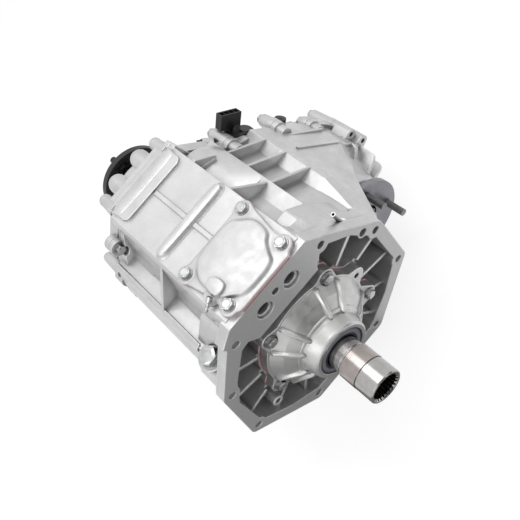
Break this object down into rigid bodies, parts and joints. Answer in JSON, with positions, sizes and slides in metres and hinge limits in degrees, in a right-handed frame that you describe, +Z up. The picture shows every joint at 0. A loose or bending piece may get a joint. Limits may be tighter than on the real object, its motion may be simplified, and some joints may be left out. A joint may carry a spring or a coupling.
{
  "type": "transfer case",
  "caption": "Full-time four-wheel-drive transfer case: planetary low range, lockable centre differential and chain drive to an offset front output.",
  "frame": {"origin": "on the input axis, in the plane of the transmission mounting face", "axes": "-Y points forward to the transmission, +Y back along the input and rear output shafts, +Z up towards the top cover, +X to the front output side"},
  "size_m": [0.4345, 0.57, 0.3769],
  "materials": {
    "cast_aluminium": "bead-blasted casting, satin",
    "sealant": "cured red silicone",
    "zinc_bolts": "bright zinc plate",
    "tube_steel": "plated tube",
    "seal_rubber": "black rubber",
    "bearing_steel": "ground",
    "gear_steel": "cut and hardened",
    "dark_steel": "oiled, dark",
    "ground_steel": "ground",
    "black_paint": "gloss black",
    "grey_phosphate": "phosphated grey",
    "black_plastic": "moulded"
  },
  "bodies": {
    "case": {"front_case": "cast_aluminium", "rear_case": "cast_aluminium", "extension_housing": "cast_aluminium", "bearing_retainer": "cast_aluminium", "top_cover": "cast_aluminium", "retainer_sealant": "sealant", "cover_sealant": "sealant", "joint_sealant": "sealant", "cover_bolts": "zinc_bolts", "retainer_bolts": "zinc_bolts", "case_bolts": "zinc_bolts", "extension_bolts": "zinc_bolts", "filler_plug": "zinc_bolts", "drain_plug": "zinc_bolts", "breather_pipe": "tube_steel", "cover_nozzle": "tube_steel", "input_seal": "seal_rubber", "rear_seal": "seal_rubber", "front_seal": "seal_rubber", "input_bearing": "bearing_steel", "output_bearing": "bearing_steel", "tail_bearing": "bearing_steel", "front_bearings": "bearing_steel", "ring_gear": "gear_steel", "chain": "dark_steel", "dowel_pins": "bearing_steel", "oil_pump": "cast_aluminium", "oil_strainer": "tube_steel", "sump_magnet": "dark_steel", "connector": "black_plastic", "position_switch": "black_plastic", "neutral_switch": "black_plastic", "speed_sensor": "black_plastic"},
    "input": {"input_shaft": "ground_steel", "sun_gear": "gear_steel"},
    "carrier": {"planet_carrier": "dark_steel", "planet_pins": "bearing_steel"},
    "planet_1": {"planet_gear_1": "gear_steel"},
    "planet_2": {"planet_gear_2": "gear_steel"},
    "planet_3": {"planet_gear_3": "gear_steel"},
    "planet_4": {"planet_gear_4": "gear_steel"},
    "output": {"main_shaft": "ground_steel", "centre_differential": "dark_steel", "drive_sprocket": "gear_steel", "rear_output_shaft": "ground_steel", "rear_companion_flange": "black_paint", "rear_flange_nut": "zinc_bolts", "rear_flange_bolts": "dark_steel"},
    "front_output": {"front_output_shaft": "ground_steel", "driven_sprocket": "gear_steel", "front_companion_flange": "grey_phosphate", "front_flange_nut": "zinc_bolts", "front_flange_studs": "dark_steel"},
    "range_shift": {"range_fork": "cast_aluminium", "range_rail": "ground_steel"},
    "range_sleeve": {"range_sleeve": "gear_steel"},
    "lock_shift": {"lock_fork": "cast_aluminium", "lock_rail": "ground_steel"},
    "lock_sleeve": {"lock_sleeve": "gear_steel"}
  },
  "joints": [
    {"name": "input_spin", "type": "hinge", "parent": "case", "child": "input", "pos_m": [0, 0, 0], "axis": [0, 1, 0], "continuous": true},
    {"name": "carrier_spin", "type": "hinge", "parent": "case", "child": "carrier", "pos_m": [0, 0, 0], "axis": [0, 1, 0], "continuous": true},
    {"name": "planet_spin_1", "type": "hinge", "parent": "carrier", "child": "planet_1", "pos_m": [0.051, 0.028, 0], "axis": [0, 1, 0], "continuous": true},
    {"name": "planet_spin_2", "type": "hinge", "parent": "carrier", "child": "planet_2", "pos_m": [0, 0.028, 0.051], "axis": [0, 1, 0], "continuous": true},
    {"name": "planet_spin_3", "type": "hinge", "parent": "carrier", "child": "planet_3", "pos_m": [-0.051, 0.028, 0], "axis": [0, 1, 0], "continuous": true},
    {"name": "planet_spin_4", "type": "hinge", "parent": "carrier", "child": "planet_4", "pos_m": [0, 0.028, -0.051], "axis": [0, 1, 0], "continuous": true},
    {"name": "output_spin", "type": "hinge", "parent": "case", "child": "output", "pos_m": [0, 0, 0], "axis": [0, 1, 0], "continuous": true},
    {"name": "front_output_spin", "type": "hinge", "parent": "case", "child": "front_output", "pos_m": [0.18055, 0, -0.10636], "axis": [0, 1, 0], "continuous": true},
    {"name": "range_slide", "type": "slide", "parent": "case", "child": "range_shift", "axis": [0, 1, 0], "range_m": [0, 0.015]},
    {"name": "range_sleeve_slide", "type": "slide", "parent": "output", "child": "range_sleeve", "axis": [0, 1, 0], "range_m": [0, 0.015]},
    {"name": "lock_slide", "type": "slide", "parent": "case", "child": "lock_shift", "axis": [0, 1, 0], "range_m": [0, 0.008]},
    {"name": "lock_sleeve_slide", "type": "slide", "parent": "output", "child": "lock_sleeve", "axis": [0, 1, 0], "range_m": [0, 0.008]}
  ],
  "couplings": [
    {"joint": "carrier_spin", "follows": "input_spin", "ratio": 0.38971},
    {"joint": "planet_spin_1", "follows": "input_spin", "ratio": -2.1564},
    {"joint": "planet_spin_2", "follows": "input_spin", "ratio": -2.1564},
    {"joint": "planet_spin_3", "follows": "input_spin", "ratio": -2.1564},
    {"joint": "planet_spin_4", "follows": "input_spin", "ratio": -2.1564},
    {"joint": "output_spin", "follows": "input_spin", "ratio": 1},
    {"joint": "front_output_spin", "follows": "input_spin", "ratio": 1},
    {"joint": "range_sleeve_slide", "follows": "range_slide", "ratio": 1},
    {"joint": "lock_sleeve_slide", "follows": "lock_slide", "ratio": 1}
  ]
}
